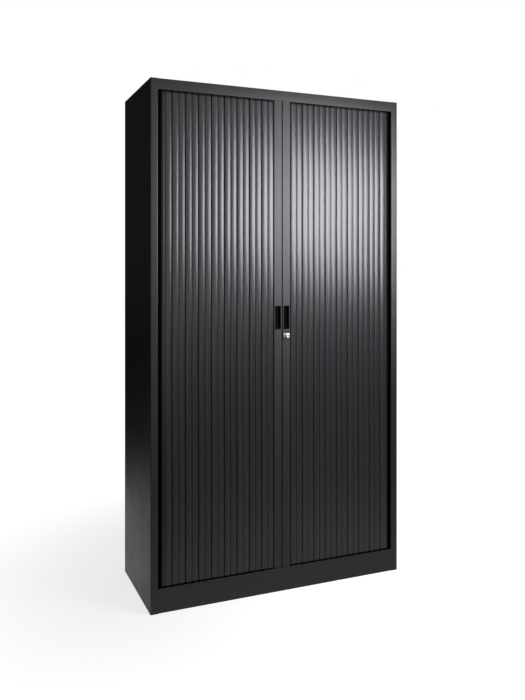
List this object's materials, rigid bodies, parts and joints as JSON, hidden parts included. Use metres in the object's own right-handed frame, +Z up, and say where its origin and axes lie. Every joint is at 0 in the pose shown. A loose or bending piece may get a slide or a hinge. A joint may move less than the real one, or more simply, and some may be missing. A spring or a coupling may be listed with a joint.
{
  "type": "tambour cupboard",
  "caption": "Tall steel office cupboard with two side-opening roller-shutter doors, inner shelves, a lock with key, recessed pulls and levelling feet.",
  "frame": {"origin": "middle of the object's footprint box, on the floor; the box includes the key that stands 12 mm in front of the doors", "axes": "+X to the right as seen from in front, +Y from the doors to the back, +Z up"},
  "size_m": [1.05, 0.442, 1.95],
  "materials": {
    "casing_paint": "fine satin powder coat, near black",
    "inner_paint": "fine satin powder coat, near black",
    "slat_plastic": "extruded plastic with a soft sheen, anthracite",
    "track_plastic": "moulded plastic, low sheen",
    "post_metal": "extruded aluminium, coated anthracite",
    "moulded_plastic": "moulded black plastic",
    "lock_metal": "nickel-plated, bright",
    "zinc_steel": "zinc-plated steel",
    "foot_plastic": "moulded plastic foot"
  },
  "bodies": {
    "carcass": {"left_side_panel": "casing_paint", "right_side_panel": "casing_paint", "top_panel": "casing_paint", "back_panel": "casing_paint", "plinth_rail": "casing_paint", "base_panel": "inner_paint", "track_carrier": "inner_paint", "floor_panel": "inner_paint", "ceiling_panel": "inner_paint", "left_cheek": "inner_paint", "right_cheek": "inner_paint", "inner_back_panel": "inner_paint", "lower_left_track": "track_plastic", "lower_right_track": "track_plastic", "upper_left_track": "track_plastic", "upper_right_track": "track_plastic", "shelf_1": "inner_paint", "shelf_2": "inner_paint", "shelf_3": "inner_paint", "shelf_4": "inner_paint", "shelf_clips": "zinc_steel", "foot_sleeves": "zinc_steel"},
    "left_door": {"left_lead_post": "post_metal", "left_handle_cup": "moulded_plastic", "left_post_shoes": "moulded_plastic", "left_slat_01": "slat_plastic", "left_slat_02": "slat_plastic", "left_slat_03": "slat_plastic", "left_slat_04": "slat_plastic", "left_slat_05": "slat_plastic", "left_slat_06": "slat_plastic", "left_slat_07": "slat_plastic", "left_slat_08": "slat_plastic", "left_slat_09": "slat_plastic", "left_slat_10": "slat_plastic"},
    "right_door": {"right_lead_post": "post_metal", "right_handle_cup": "moulded_plastic", "right_post_shoes": "moulded_plastic", "lock_barrel": "lock_metal", "lock_nut": "zinc_steel", "right_slat_01": "slat_plastic", "right_slat_02": "slat_plastic", "right_slat_03": "slat_plastic", "right_slat_04": "slat_plastic", "right_slat_05": "slat_plastic", "right_slat_06": "slat_plastic", "right_slat_07": "slat_plastic", "right_slat_08": "slat_plastic", "right_slat_09": "slat_plastic", "right_slat_10": "slat_plastic"},
    "lock": {"lock_plug": "lock_metal", "key": "lock_metal", "key_bow": "lock_metal", "hook_bolt": "zinc_steel", "hook_screw": "zinc_steel"},
    "foot_front_left": {"levelling_foot_front_left": "foot_plastic"},
    "foot_front_right": {"levelling_foot_front_right": "foot_plastic"},
    "foot_rear_left": {"levelling_foot_rear_left": "foot_plastic"},
    "foot_rear_right": {"levelling_foot_rear_right": "foot_plastic"}
  },
  "joints": [
    {"name": "left_door_slide", "type": "slide", "parent": "carcass", "child": "left_door", "axis": [-1, 0, 0], "range_m": [0, 0.43], "deforming": ["left_slat_01", "left_slat_02", "left_slat_03", "left_slat_04", "left_slat_05", "left_slat_06", "left_slat_07", "left_slat_08", "left_slat_09", "left_slat_10"]},
    {"name": "right_door_slide", "type": "slide", "parent": "carcass", "child": "right_door", "axis": [1, 0, 0], "range_m": [0, 0.43], "deforming": ["right_slat_01", "right_slat_02", "right_slat_03", "right_slat_04", "right_slat_05", "right_slat_06", "right_slat_07", "right_slat_08", "right_slat_09", "right_slat_10"]},
    {"name": "lock_turn", "type": "hinge", "parent": "right_door", "child": "lock", "pos_m": [0.013, -0.199, 0.995], "axis": [0, 1, 0], "range_deg": [0, 90]},
    {"name": "foot_front_left_screw", "type": "slide", "parent": "carcass", "child": "foot_front_left", "axis": [0, 0, -1], "range_m": [0, 0.015]},
    {"name": "foot_front_right_screw", "type": "slide", "parent": "carcass", "child": "foot_front_right", "axis": [0, 0, -1], "range_m": [0, 0.015]},
    {"name": "foot_rear_left_screw", "type": "slide", "parent": "carcass", "child": "foot_rear_left", "axis": [0, 0, -1], "range_m": [0, 0.015]},
    {"name": "foot_rear_right_screw", "type": "slide", "parent": "carcass", "child": "foot_rear_right", "axis": [0, 0, -1], "range_m": [0, 0.015]}
  ]
}
